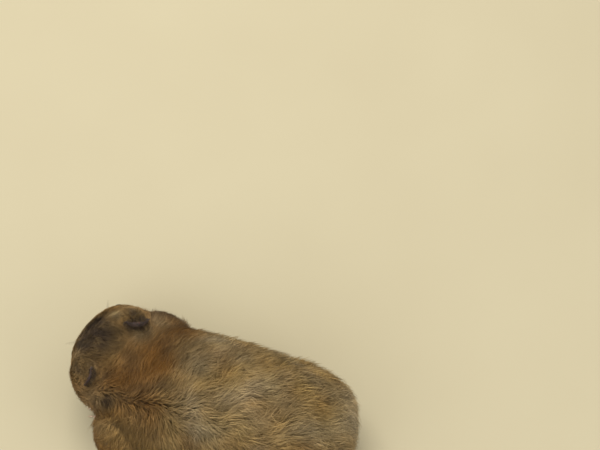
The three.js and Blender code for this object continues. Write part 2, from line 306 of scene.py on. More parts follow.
def flesh_shell():
    """The solids of flesh and the eyes closed into one mesh of even squares."""
    shape = bmesh.new()
    for name in FLESH + EYES:
        grown = bmesh.new()
        grown.from_mesh(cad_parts[name].data)
        bmesh.ops.remove_doubles(grown, verts=grown.verts, dist=0.001 * MM)
        grown.normal_update()
        for point in grown.verts:
            point.co = point.co / MM + point.normal * CLOSE.get(kind_of(name), CLOSE_WIDE)
        part = bpy.data.meshes.new("part")
        grown.to_mesh(part)
        grown.free()
        shape.from_mesh(part)
        bpy.data.meshes.remove(part)
    mesh = bpy.data.meshes.new("flesh")
    shape.to_mesh(mesh)
    shape.free()
    draft = bpy.data.objects.new("flesh", mesh)
    bpy.context.scene.collection.objects.link(draft)
    remesh = draft.modifiers.new("close", "REMESH")
    remesh.mode = "VOXEL"
    remesh.voxel_size = VOXEL
    graph = bpy.context.evaluated_depsgraph_get()
    closed = bpy.data.meshes.new_from_object(draft.evaluated_get(graph))
    bpy.data.objects.remove(draft)
    points, triangles = arrays_of(closed, 1)
    bpy.data.meshes.remove(closed)
    return one_shell(points, triangles)


def refined(points, triangles, wanted):
    """The mesh with each triangle whose three corners are wanted cut in four."""
    shape = bmesh.new()
    mesh = bpy.data.meshes.new("draft")
    mesh.from_pydata(points.tolist(), [], triangles.tolist())
    shape.from_mesh(mesh)
    bpy.data.meshes.remove(mesh)
    shape.verts.ensure_lookup_table()
    cut = [edge for edge in shape.edges if wanted[edge.verts[0].index] and wanted[edge.verts[1].index]]
    bmesh.ops.subdivide_edges(shape, edges=cut, cuts=1, use_grid_fill=True)
    bmesh.ops.triangulate(shape, faces=shape.faces)
    finer = bpy.data.meshes.new("finer")
    shape.to_mesh(finer)
    shape.free()
    points, triangles = arrays_of(finer, 1)
    bpy.data.meshes.remove(finer)
    return points, triangles


class Parts:
    """Which solid of flesh each place belongs to."""

    def __init__(self):
        corners = []
        faces = []
        owners = []
        for index, name in enumerate(FLESH):
            node_points, node_triangles = arrays_of(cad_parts[name].data)
            faces.append(node_triangles + sum(len(c) for c in corners))
            corners.append(node_points)
            owners += [index] * len(node_triangles)
        self.owners = np.array(owners)
        self.tree = BVHTree.FromPolygons(
            np.concatenate(corners).tolist(), np.concatenate(faces).tolist()
        )

    def of(self, points):
        return self.owners[nearest_on(self.tree, points)[1]]


def is_part(labels, *kinds):
    """True where a point belongs to a part whose name ends in one of these kinds."""
    wanted = [index for index, name in enumerate(FLESH) if name.endswith(kinds)]
    return np.isin(labels, wanted)


def eye_distance(points):
    """How far each point is from the nearer eye's middle."""
    return np.minimum(*[np.linalg.norm(points - middle(eye), axis=1) for eye in EYES])


def lightened(points, triangles, wanted, target):
    """The mesh with the wanted points' triangles merged until that many are left in all."""
    draft = mesh_object("draft", points, triangles, 1)
    group = draft.vertex_groups.new(name="wanted")
    group.add(np.flatnonzero(wanted).tolist(), 1.0, "REPLACE")
    lighter = draft.modifiers.new("lighter", "DECIMATE")
    lighter.ratio = target / len(triangles)
    lighter.vertex_group = group.name
    graph = bpy.context.evaluated_depsgraph_get()
    mesh = bpy.data.meshes.new_from_object(draft.evaluated_get(graph))
    bpy.data.objects.remove(draft)
    points, triangles = arrays_of(mesh, 1)
    bpy.data.meshes.remove(mesh)
    return points, triangles


def skin_shape():
    """The skin's points, triangles and parts, still at the solids' surface."""
    parts = Parts()
    points, triangles = flesh_shell()
    edges = edges_of(triangles)
    labels = parts.of(points)
    fine = is_part(labels, "ear", "forepaw", "hind_foot", "nose", "tail")
    points = smoothed(points, edges, 4, np.where(fine, 0.5, 0))
    points = blurred(points, edges, 5, np.where(fine, 0, 0.5))
    broad = blurred(np.where(fine | (eye_distance(points) < 4.6), 0, 0.5), edges, 6)
    points = blurred(points, edges, 70, np.where(is_part(labels, "muzzle"), 0.4, 1) * broad)
    fine |= is_part(labels, "muzzle") | (eye_distance(points) < 6)
    hidden = (~fine)[triangles].all(1).sum()
    points, triangles = lightened(points, triangles, ~fine, len(triangles) - hidden + BODY_TRIANGLES)
    edges = edges_of(triangles)
    labels = parts.of(points)
    shoulder = blurred(is_part(labels, "foreleg").astype(float), edges, 20)
    crease = 4 * shoulder * (1 - shoulder) * soft(points[:, 2], 9, 16)
    points = blurred(points, edges, 60, 0.5 * blurred(crease, edges, 4))
    snout = is_part(labels, "muzzle", "nose") & (on_head(points)[:, 0] > 24)
    points, triangles = refined(points, triangles, snout | (eye_distance(points) < 4.8))
    points = smoothed(points, edges_of(triangles), 6, 0.5)
    return points, triangles, parts.of(points)


def by_part(labels, table):
    """The table's value for each point's part."""
    return np.array([table[kind_of(name)] for name in FLESH], float)[labels]


def closing(labels, edges):
    """How far each point was moved out to close the cuts."""
    grown = np.array([CLOSE.get(kind_of(name), CLOSE_WIDE) for name in FLESH])[labels]
    return blurred(grown, edges, 3)


def coat_depths(points, labels, edges):
    """How deep the skin lies under the tips of the coat at each point."""
    head = on_head(points)
    depth = by_part(labels, COAT_DEPTH)
    thinner = np.interp(head[:, 0], [-8, 18, 28], [COAT_DEPTH["head"], 1.3, 0.45])
    face = is_part(labels, "head", "muzzle")
    depth[face] = thinner[face]
    limb = is_part(labels, "foreleg", "hind_leg")
    depth[limb] *= soft(points[limb, 2], 1, 17) * 0.75 + 0.25
    round_eye = eye_distance(points)
    depth = np.minimum(depth, np.where(face, np.maximum(0.3 * (round_eye - EYE_RADIUS - 0.3), 0), 9))
    depth = blurred(depth, edges, 12)
    return np.minimum(depth, by_part(labels, DEEPEST))


def sunk(points, triangles, edges, depth, steps=5):
    """The surface moved in by the depth, a little at a time."""
    for _ in range(steps):
        points = points - point_normals(points, triangles) * (depth[:, None] / steps)
        points = blurred(points, edges, 2, 0.1 + 0.3 * soft(depth, 0.8, 3))
    return points


# ---- the face ----


def push(points, normals, amount, where):
    return points + normals * (amount * where)[:, None]


def nostril(head, nose_tip, side):
    """1 in the middle of one nostril, for points in the head's own frame."""
    return spot(head, (nose_tip - 0.7, side * 1.3, 0.9), (1.2, 0.55, 0.45))


def shape_face(points, triangles, labels):
    """Whisker pads, nostrils, the cleft of the lip and the line of the mouth."""
    normals = point_normals(points, triangles)
    head = on_head(points)
    along, out, up = head.T
    nose_tip = along[is_part(labels, "nose")].max()
    for side in SIDES.values():
        pad = spot(head, (24.6, side * 3.4, -0.6), (3.2, 2.0, 2.2))
        points = push(points, normals, 0.55, pad)
        points = push(points, normals, -0.8, nostril(head, nose_tip, side))
        wing = spot(head, (nose_tip - 0.7, side * 1.5, 1.4), (0.8, 0.5, 0.7))
        points = push(points, normals, 0.18, wing)
    snout = is_part(labels, "muzzle", "nose") & (along > 20)
    cleft = np.exp(-((out / 0.32) ** 2)) * soft(up, 0.9, 0.2) * soft(up, -4.4, -3.6) * snout
    points = push(points, normals, -0.5, cleft)
    lip_line = -3.5 - 0.06 * out**2
    mouth = np.exp(-(((up - lip_line) / 0.34) ** 2)) * soft(np.abs(out), 5.2, 3.8) * snout
    points = push(points, normals, -0.6, mouth)
    lips = np.exp(-(((up - lip_line - 0.9) / 0.6) ** 2)) * soft(np.abs(out), 5, 3) * snout
    return push(points, normals, 0.16, lips)


def shape_lids(points):
    """The lids close on each eyeball and end in a rounded edge round its opening."""
    for side, eye in zip(SIDES.values(), EYES):
        centre = middle(eye)
        out = eye_way(side)
        along = unit(AHEAD - out * (AHEAD @ out))
        reach = points - centre
        distance = np.linalg.norm(reach, axis=1)
        way = unit(reach)
        turn = np.degrees(np.arccos(np.clip(way @ out, -1, 1)))
        across = unit(way - out * (way @ out)[:, None])
        opening = EYE_OPENING + 5 * (2 * (across @ along) ** 2 - 1)
        near = (distance < EYE_RADIUS + 1.5) & (turn < SIGHT)
        # Points at the edge line up on it, those inside drop behind the eyeball.
        past = turn - opening
        edge = near & (np.abs(past) < EDGE_REACH)
        turned = np.where(edge, opening, turn)
        away = np.where(past < -EDGE_REACH, EYE_RADIUS - 0.9, EYE_RADIUS + 0.1 + LID * soft(past, -1, 9))
        away = np.where(past > 14, np.maximum(away, distance), away)
        bent = np.radians(turned)[:, None]
        wanted = centre + (out * np.cos(bent) + across * np.sin(bent)) * away[:, None]
        share = near * soft(distance, EYE_RADIUS + 1.5, EYE_RADIUS + 0.8)
        points = points + (wanted - points) * share[:, None]
    return points


# ---- how the coat lies, and its markings and painted shade ----


def lie_of_coat(points, normals, labels, edges):
    """The way the hair runs at each point, as unit vectors along the skin."""
    over_right = np.array([-0.9, 0.25, -0.3])
    down_side = np.array([0.4, 0.12, -0.9])
    flows = {
        "trunk": np.array([-0.1, 0.9, -0.5]),
        "neck": over_right,
        "head": -AHEAD - 0.3 * LEFT,
        "muzzle": -AHEAD,
        "nose": -AHEAD,
        "foreleg": np.array([0, 0.3, -1]),
        "hind_leg": np.array([0, 0.7, -0.8]),
        "forepaw": np.array([0, -1, -0.2]),
        "hind_foot": np.array([0, -1, -0.2]),
        "ear": UP - 0.4 * AHEAD,
        "tail": np.array([0, 1, -0.8]),
    }
    flow = np.array([flows[kind_of(name)] for name in FLESH])[labels]
    x, y, z = points.T
    body = is_part(labels, "trunk", "neck", "foreleg")
    back = body * soft(z, 30, 42) * soft(x, 14, 2)
    nape = body * soft(y, 4, -22) * soft(x, 14, 2)
    shoulder = body * soft(y, 2, -22) * soft(x, 6, 14)
    flow = flow + (np.array([-0.4, 0.9, -0.3]) - flow) * back[:, None]
    flow = flow + (over_right - flow) * nape[:, None]
    flow = flow + (down_side - flow) * shoulder[:, None]
    for _ in range(3):
        flow = blurred(flow, edges, 14)
        flow = unit(flow - normals * (flow * normals).sum(1, keepdims=True))
    return flow


class MarkingsAndShade:
    """How rusty, ashy, dark and pale the coat is at many places, one kind at a time; the dark kind holds
    painted shade as well as dark fur.
    """

    def __init__(self, points, normals, labels):
        self.points = points
        self.normals = normals
        self.labels = labels
        self.head = on_head(points)
        self.wander = 3.2 * ripple(points, 9, 11) + 1.4 * ripple(points, 3.5, 12)
        self.wandered = points + np.stack([self.wander, 0.6 * self.wander, 0 * self.wander], 1)
        along, out, up = self.head.T
        self.slanted = np.stack([along + 0.4 * up, out, up], 1)
        # The dark face mask: dark fur on the forehead and round the eyes, with painted shade on the face,
        # which turns down and away from the light.
        face_mask_and_shade = 1.1 * spot(self.head + 0.4 * self.wander[:, None], (-4, 1.5, 10), (10.5, 9, 9))
        face_mask_and_shade = np.clip(1.5 * (face_mask_and_shade + 0.36 * spot(self.head, (9, 0, 8), (9, 11, 7))), 0, 1)
        self.wedge = spot(self.head, (-3.5, -9, 9.5), (5, 2.4, 5))
        self.face_mask_and_shade = face_mask_and_shade * (1 - 0.75 * self.wedge)
        self.amber = patches(self.head, AMBER_PATCHES)
        self.ear_bases = [
            np.clip(1.25 * spot(self.head, (-8.5, side * 14, 5.5), (5, 3.2, 3.6)), 0, 0.9)
            for side in SIDES.values()
        ]
        self.parting = np.maximum(
            np.clip(3 * spot(points, PARTING, (2, 1.9, 6)), 0, 1),
            0.8 * spot(points, (11.9, -38.2, 36.2), (0.9, 2.2, 4)),
        )
        self.shoulder = spot(points, (20, -20, 34), (9, 16, 10))
        self.gold = spot(points, (22, -30, 30), (7, 9, 7))

    def rusty(self):
        """Most on the nape, the shoulders and the back of the head."""
        _, y, z = self.points.T
        rust = soft(y + self.wander, 3, -21) * (1 - 0.35 * soft(z, 24, 10))
        rust = np.maximum(rust, 0.3 + 0.25 * ripple(self.points, 8, 14) * soft(z, 20, 40))
        rust *= 1 - 0.35 * soft(self.head[:, 0], 4, 14) * is_part(self.labels, "head", "muzzle")
        rust *= 1 - 0.85 * np.maximum(self.face_mask_and_shade, self.wedge)
        rust *= 1 - 0.5 * self.amber
        for ear_base in self.ear_bases:
            rust *= 1 - 0.8 * ear_base
        rust *= 1 - 0.6 * self.parting
        rust *= 1 - 0.4 * self.shoulder
        return rust * (1 - 0.3 * self.gold)

    def ashy(self):
        """Down the middle of the back, and on the forehead."""
        _, y, z = self.points.T
        ash = 0.6 * spot(self.wandered, (6, 2, 50), (10, 17, 26))
        ash = np.maximum(ash, 0.6 * spot(self.head, (-12.5, -6, 8), (4, 4.5, 5)))
        ash = np.maximum(ash, 0.3 + 0.3 * ripple(self.points, 6, 15)) * soft(z, 14, 30)
        ash *= 1 - 0.6 * soft(y, -4, -18)
        return np.maximum(ash, 0.7 * self.wedge)

    def darkest(self):
        """The forehead and eyes, where painted shade deepens the dark fur, a ring at each ear, a stripe on
        each cheek, and mottles, with painted shade behind the right cheek and on the upper edge of the far
        flank.
        """
        _, y, z = self.points.T
        dark = 0.97 * self.face_mask_and_shade
        for side, ear_base in zip(SIDES.values(), self.ear_bases):
            flash = spot(self.slanted, (-3, side * 19, -7), (4.2, 8, 7))
            dark = np.maximum(dark, np.maximum(ear_base, 0.9 * np.clip(1.6 * flash, 0, 1)))
        dark = np.maximum(dark, self.parting)
        # Painted shade in the hollow between the right cheek and the body.
        dark = np.maximum(dark, 0.95 * spot(self.points, RUFFLED, (6, 7, 9)))
        # Painted shade on the upper edge of the far flank, which turns away from the light.
        dark = np.maximum(dark, 0.42 * spot(self.points, (-26, 21, 39), (9, 15, 9)))
        dark = np.maximum(dark, patches(self.wandered, DARK_PATCHES))
        blotch = soft(ripple(self.points, 6.5, 18), 0.1, 1.5) * soft(z, 16, 34)
        dark = np.maximum(dark, 0.24 * blotch)
        mottled = 0.55 * soft(ripple(self.points, 4.5, 16) + 0.8 * ripple(self.points, 2.2, 17), -0.4, 1.5)
        mottled = mottled * soft(y, 0, -20) * soft(z, 12, 26) * (1 - 0.75 * self.shoulder)
        dark = np.maximum(dark, mottled)
        fine = ripple(self.points, 2.2, 13)
        return dark * (1 + 0.18 * fine) * (1 - 0.75 * np.maximum(self.amber, self.gold))

    def palest(self):
        """The belly, throat, chin, paws and tail, and the crescents on the cheeks."""
        x, y, z = self.points.T
        along, _, up = self.head.T
        belly = soft(-self.normals[:, 2] * 8 + 9 + 0.5 * self.wander - z, 0, 4)
        throat = soft(up + 0.3 * self.wander, -11, -15) * soft(along, -16, -8) * soft(z, 21, 13)
        chin = soft(up + 0.3 * self.wander, -1.6, -3.6) * soft(along, 14, 20)
        pale = np.maximum(np.maximum(belly, throat), chin)
        for side in SIDES.values():
            front = spot(self.slanted, (5, side * 18, -8), (2.4, 8, 7))
            behind = spot(self.slanted, (-11, side * 20, -13), (2.4, 8, 5)) * soft(z, 22, 16)
            cheek = 0.2 * spot(self.head, (-6.5, side * 9.8, 13), (2.4, 2.2, 3))
            fleck = 0.3 * spot(self.head, (-14, side * 10, 8.5), (1.6, 1.4, 3))
            for patch in (0.85 * front, 0.85 * behind, cheek, fleck):
                pale = np.maximum(pale, np.clip(1.3 * patch, 0, 0.9))
        flecked = 0.16 * soft(ripple(self.points, 5.5, 19), 0.3, 1.6)
        for patch in (
            0.35 * soft(y, 42, 54) * soft(x, 8, -16),
            0.24 * patches(self.wandered, LIGHT_PATCHES),
            flecked * soft(z, 20, 36) * soft(y, -16, -4),
            0.14 * self.amber,
            0.6 * is_part(self.labels, "tail"),
        ):
            pale = np.maximum(pale, patch)
        return pale

    def all(self):
        """The four kinds side by side, the ears being dark all over."""
        marks_and_shade = np.stack([self.rusty(), self.ashy(), self.darkest(), self.palest()], 1)
        marks_and_shade[is_part(self.labels, "ear")] = EAR_MARKS
        return np.clip(marks_and_shade, 0, 1)


# ---- the map of the skin, laid out part by part ----

CHARTS = {  # corner and size of each part's place on the map
    "trunk": (0.0, 0.0, 1.0, 0.46),
    "head": (0.0, 0.47, 0.5, 0.24),
    "muzzle": (0.51, 0.47, 0.34, 0.24),
    "neck": (0.0, 0.72, 0.6, 0.09),
    "nose": (0.86, 0.47, 0.06, 0.1),
    "tail": (0.93, 0.47, 0.06, 0.1),
    "left_ear": (0.86, 0.58, 0.13, 0.065),
    "right_ear": (0.86, 0.65, 0.13, 0.065),
    "left_foreleg": (0.0, 0.82, 0.24, 0.085),
    "right_foreleg": (0.25, 0.82, 0.24, 0.085),
    "left_hind_leg": (0.5, 0.82, 0.24, 0.085),
    "right_hind_leg": (0.75, 0.82, 0.24, 0.085),
    "left_forepaw": (0.0, 0.915, 0.24, 0.08),
    "right_forepaw": (0.25, 0.915, 0.24, 0.08),
    "left_hind_foot": (0.5, 0.915, 0.24, 0.08),
    "right_hind_foot": (0.75, 0.915, 0.24, 0.08),
}


def on_map(points, owner):
    """Each point's place on the map of one part: the turn about its long way, and the way along it."""
    name = FLESH[owner]
    kind = kind_of(name)
    if kind in ("head", "muzzle", "nose"):
        axes = np.stack([LEFT, UP, AHEAD])
    elif kind in ("foreleg", "hind_leg"):
        axes = np.array([[1.0, 0, 0], [0, 1, 0], [0, 0, 1]])
    elif kind == "ear":
        axes = np.stack([AHEAD, LEFT, UP])
    else:
        axes = np.array([[1.0, 0, 0], [0, 0, 1], [0, -1, 0]])
    low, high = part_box(name)
    half = np.abs(axes) @ (np.array(high - low) / 2 / MM)
    local = (points - middle(name)) @ axes.T
    turn = np.arctan2(local[:, 0] / half[0], -local[:, 1] / half[1]) / (2 * math.pi) + 0.5
    way = np.clip(local[:, 2] / half[2] * 0.45 + 0.5, 0.02, 0.98)
    return turn, way


def place_on_chart(turn, way, owner):
    left, low, width, height = CHARTS[FLESH[owner]]
    return np.stack([left + turn * width, low + way * height], -1)


def skin_map(points, triangles, labels):
    """The map's place of each corner of each triangle of the skin."""
    owners = labels[triangles[:, 0]]
    places = np.empty((len(triangles), 3, 2))
    for owner in range(len(FLESH)):
        mine = owners == owner
        turn, way = on_map(points[triangles[mine]].reshape(-1, 3), owner)
        turn = turn.reshape(-1, 3)
        turn = turn - np.round(turn - turn[:, :1])
        places[mine] = place_on_chart(turn, way.reshape(-1, 3), owner)
    return places


def add_map(piece, places):
    layer = piece.data.uv_layers.new(name="OFBake")
    layer.data.foreach_set("uv", places.astype(np.float32).ravel())


def add_colours(piece, name, values):
    layer = piece.data.attributes.new(name, "FLOAT_COLOR", "POINT")
    layer.data.foreach_set("color", values.astype(np.float32).ravel())


# ---- the coat ----


class Ground:
    """The finished skin, with everything the coat needs to know at any place on it."""

    def __init__(self, points, triangles, labels, depth, edges):
        self.points = points
        self.triangles = triangles
        self.labels = labels
        self.depth = depth
        self.normals = point_normals(points, triangles)
        self.flow = lie_of_coat(points, self.normals, labels, edges)
        self.marks_and_shade = MarkingsAndShade(points, self.normals, labels).all()
        self.tree = BVHTree.FromPolygons(points.tolist(), triangles.tolist())

    def at(self, values, faces):
        """Values at the points, as they are in the middle of each face."""
        return values[self.triangles[faces]].mean(1)


def length_of(depth):
    """Length of a lock in a coat of this depth."""
    return np.interp(depth, [0.15, 1.3, 5.2], [0.75, 2.5, 7.4])


def width_of(depth):
    """Width of a lock at its widest."""
    return np.interp(depth, [0.15, 1.3, 5.2], [0.06, 0.12, 0.26])


def roots_on(ground, draw):
    """Faces and places for the roots of the locks, closer together where the coat is shorter."""
    corners = ground.points[ground.triangles]
    area = 0.5 * np.linalg.norm(
        np.cross(corners[:, 1] - corners[:, 0], corners[:, 2] - corners[:, 0]), axis=1
    )
    depth = ground.depth[ground.triangles].mean(1)
    labels = ground.labels[ground.triangles[:, 0]]
    cover = np.interp(depth, [0.2, 1, 3, 5], COVER)
    wanted = cover * area / (0.5 * length_of(depth) * width_of(depth))
    bare = is_part(labels, "nose") | (depth < 0.12)
    sole = is_part(labels, "forepaw", "hind_foot") & (corners[:, :, 2].mean(1) < 1.2)
    share = by_part(labels, COAT_SHARE)
    under = ground.normals[ground.triangles[:, 0], 2] < -0.3
    wanted = np.where(bare | sole, 0, wanted) * share * np.where(under, 0.5, 1)
    heap = np.cumsum(wanted)
    count = int(heap[-1])
    faces = np.searchsorted(heap, (np.arange(count) + draw.random(count)) / count * heap[-1])
    faces = np.minimum(faces, len(area) - 1)
    first, second = draw.random((2, count))
    fold = first + second > 1
    first = np.where(fold, 1 - first, first)
    second = np.where(fold, 1 - second, second)
    places = (
        corners[faces, 0]
        + (corners[faces, 1] - corners[faces, 0]) * first[:, None]
        + (corners[faces, 2] - corners[faces, 0]) * second[:, None]
    )
    return faces, places


def turned(vectors, about, angle):
    """Vectors turned about unit axes at right angles to them."""
    return vectors * np.cos(angle)[:, None] + np.cross(about, vectors) * np.sin(angle)[:, None]


def comb(ground, faces, roots, draw):
    """Each lock's path from its root over the skin to its tip at the coat's surface, with its marks and
    painted shade.
    """
    normals = unit(ground.at(ground.normals, faces))
    depth = ground.at(ground.depth, faces)
    flow = unit(ground.at(ground.flow, faces))
    stray = 0.28 * ripple(roots, 9, 21) + 0.3 * ripple(roots, 2.8, 22)
    stray = stray + draw.normal(0, 0.4, len(roots))
    flow = turned(flow, normals, stray)
    fringe = soft(roots[:, 1], -8, 10) * soft(roots[:, 2], 12, 22)
    wispy = draw.random(len(roots)) < WISPS + 0.2 * fringe
    length = length_of(depth) * draw.uniform(0.65, 1.2, len(roots)) * (1 + 0.25 * wispy)
    length = length * (1 + 0.25 * soft(roots[:, 1], 25, 45))
    reach = 1 - 0.6 * draw.random(len(roots)) ** 1.5 + (0.2 + 0.12 * fringe) * wispy
    reach = reach + 0.08 * ripple(roots, 2.6, 23)
    reach = reach * (1 - 0.5 * spot(roots, PARTING, (3.2, 3.2, 6)))
    reach = reach + 0.36 * spot(roots, RUFFLED, (6, 7, 9))
    marks_and_shade = [ground.at(ground.marks_and_shade, faces)]
    path = [roots - normals * (0.12 * depth + 0.1)[:, None]]
    sides = [np.cross(normals, flow)]
    ups = [normals]
    here = roots
    for start, end in zip(BENDS, BENDS[1:]):
        here, faces = nearest_on(ground.tree, here + flow * (length * (end - start))[:, None])
        normals = unit(ground.at(ground.normals, faces))
        local = unit(ground.at(ground.flow, faces))
        local = turned(local, normals, stray)
        flow = unit(flow + 0.5 * local)
        flow = unit(flow - normals * (flow * normals).sum(1, keepdims=True))
        rise = np.interp(end, [0, 0.4, 1], [0, 0.6, 0.95])
        path.append(here + normals * (depth * rise * reach + 0.06)[:, None])
        marks_and_shade.append(ground.at(ground.marks_and_shade, faces))
        sides.append(np.cross(normals, flow))
        ups.append(normals)
    marks_and_shade[0] = (marks_and_shade[0] + marks_and_shade[1]) / 2
    marks_and_shade = np.stack([marks_and_shade[0]] * 3 + [marks_and_shade[1]] * 3 + [marks_and_shade[2]], 1)
    return np.stack(path, 1), np.stack(sides, 1), np.stack(ups, 1), depth, marks_and_shade


def clumped(path, roots, depth, draw):
    """The locks' outer ends drawn together into clumps, each about a depth of coat across."""
    centres = draw.choice(len(roots), max(2, len(roots) // CLUMP), replace=False)
    tree = KDTree(len(centres))
    for index, centre in enumerate(roots[centres].tolist()):
        tree.insert(centre, index)
    tree.balance()
    clump = np.array([tree.find(root)[1] for root in roots.tolist()])
    pull = draw.uniform(0.05, 0.5, len(roots)) * soft(depth, 0.4, 2)
    for step in range(1, path.shape[1]):
        mean = np.stack(
            [np.bincount(clump, path[:, step, axis], len(centres)) for axis in range(3)], 1
        ) / np.maximum(np.bincount(clump, minlength=len(centres)), 1)[:, None]
        share = pull * BENDS[step] ** 1.5
        path[:, step] += (mean[clump] - path[:, step]) * share[:, None]
    return path, draw.random(len(centres))[clump]


def lock_faces():
    """The triangles of one closed three-sided lock, and each corner's place on its patch."""
    steps = len(BENDS) - 1
    faces = [(0, 2, 1)]
    places = [((0.0, 0.0), (0.66, 0.0), (0.33, 0.04))]
    for step in range(steps):
        low, high = BENDS[step], BENDS[step + 1]
        for side in range(3):
            first, second = 3 * step + side, 3 * step + (side + 1) % 3
            left, right = side / 3, (side + 1) / 3
            if step == steps - 1:
                faces.append((first, second, 3 * steps))
                places.append(((left, low), (right, low), ((left + right) / 2, high)))
            else:
                faces += [(first, second, second + 3), (first, second + 3, first + 3)]
                places += [
                    ((left, low), (right, low), (right, high)),
                    ((left, low), (right, high), (left, high)),
                ]
    return np.array(faces), np.array(places)


def lock_points(path, sides, ups, width):
    """The rings of every lock and its tip, in order from the root."""
    rings = []
    for step in range(len(BENDS) - 1):
        half = (width * SWELL[step] / 2)[:, None]
        across, up = sides[:, step] * half, ups[:, step] * half
        centre = path[:, step]
        rings += [centre - across - 0.25 * up, centre + across - 0.25 * up, centre + 0.75 * up]
    rings.append(path[:, -1])
    return np.stack(rings, 1)


def coat_piece(name, ground, faces, roots, draw, material):
    """One piece of the coat: all its locks as one mesh, with their markings and painted shade and their
    map.
    """
    path, sides, ups, depth, marks_and_shade = comb(ground, faces, roots, draw)
    path, family = clumped(path, roots, depth, draw)
    tip = path[:, -1]
    family = 0.35 + 0.3 * family + 0.26 * ripple(tip, 1.6, 31) + 0.36 * ripple(tip, 3.2, 32)
    family = np.clip(family, 0, 1)
    width = width_of(depth) * draw.uniform(0.7, 1.25, len(roots))
    roll = draw.normal(0, 0.35, len(roots))
    level_part, upright_part = np.cos(roll)[:, None, None], np.sin(roll)[:, None, None]
    across = sides * level_part + ups * upright_part
    rings = lock_points(path, across, ups * level_part - sides * upright_part, width)
    rings[:, :, 2] = np.maximum(rings[:, :, 2], LOWEST)
    pattern, patch = lock_faces()
    points_each = rings.shape[1]
    start = np.arange(len(roots))[:, None, None] * points_each
    triangles = (start + pattern[None]).reshape(-1, 3)
    piece = mesh_object(name, rings.reshape(-1, 3), triangles)
    add_colours(piece, "marks_and_shade", marks_and_shade.reshape(-1, 4))
    along = np.tile(np.append(np.repeat(BENDS[:-1], 3), BENDS[-1]), len(roots))
    tone = np.repeat(draw.random((len(roots), 2)), points_each, 0)
    family = np.repeat(family, points_each)
    add_colours(piece, "lock", np.stack([along, tone[:, 0], family, tone[:, 1]], 1))
    owners = ground.labels[ground.triangles[faces, 0]]
    spots = np.empty((len(roots), 2))
    for owner in np.unique(owners):
        mine = owners == owner
        spots[mine] = place_on_chart(*on_map(roots[mine], owner), owner)
    add_map(piece, spots[:, None, None] + (patch[None] - 0.5) * PATCH)
    return finish_piece(piece, material)


def joined(first, second):
    """Two arrays of words as one, with _ between them."""
    return np.char.add(np.char.add(first, "_"), second)


def piece_names(ground, faces, roots):
    """Which piece of the coat each root belongs to."""
    kinds = np.array([kind_of(name) for name in FLESH])[ground.labels[ground.triangles[faces, 0]]]
    side = np.where(roots[:, 0] > 0, "left", "right")
    head_side = np.where(on_head(roots)[:, 1] > 0, "left", "right")
    stretch = np.select([roots[:, 1] < -8, roots[:, 1] < 24], ["shoulders", "back"], "rump")
    trunk = kinds == "trunk"
    upper = ground.at(ground.normals, faces)[:, 2] > -0.35
    choices = [
        (trunk & upper, joined(stretch, side)),
        (trunk, np.full(len(roots), "belly")),
        (np.isin(kinds, ["head", "muzzle"]), joined(kinds, head_side)),
        (np.isin(kinds, ["foreleg", "hind_leg"]), joined(side, kinds)),
        (np.isin(kinds, ["forepaw", "hind_foot"]), np.full(len(roots), "feet")),
    ]
    return np.select(*zip(*choices), kinds)


def grow_coat(ground, material):
    """The whole coat, piece by piece."""
    draw = np.random.default_rng(7)
    faces, roots = roots_on(ground, draw)
    names = piece_names(ground, faces, roots)
    for name in np.unique(names):
        mine = names == name
        coat_piece("coat_" + name, ground, faces[mine], roots[mine], draw, material)


# ---- finishes ----


class Wire:
    """A shader output that takes part in sums with numbers and with other wires."""

    def __init__(self, shader, socket):
        self.shader = shader
        self.socket = socket

    def maths(self, operation, *values):
        return self.shader.node("ShaderNodeMath", {"operation": operation}, dict(enumerate(values)))

    def __add__(self, other):
        return self.maths("ADD", self, other)

    def __sub__(self, other):
        return self.maths("SUBTRACT", self, other)

    def __rsub__(self, other):
        return self.maths("SUBTRACT", other, self)

    def __mul__(self, other):
        return self.maths("MULTIPLY", self, other)

    __radd__ = __add__
    __rmul__ = __mul__

    def between(self, low, high):
        """0 below low and 1 above high, with a smooth rise."""
        settings = {"interpolation_type": "SMOOTHSTEP"}
        return self.shader.node("ShaderNodeMapRange", settings, {0: self, 1: low, 2: high, 3: 0, 4: 1})


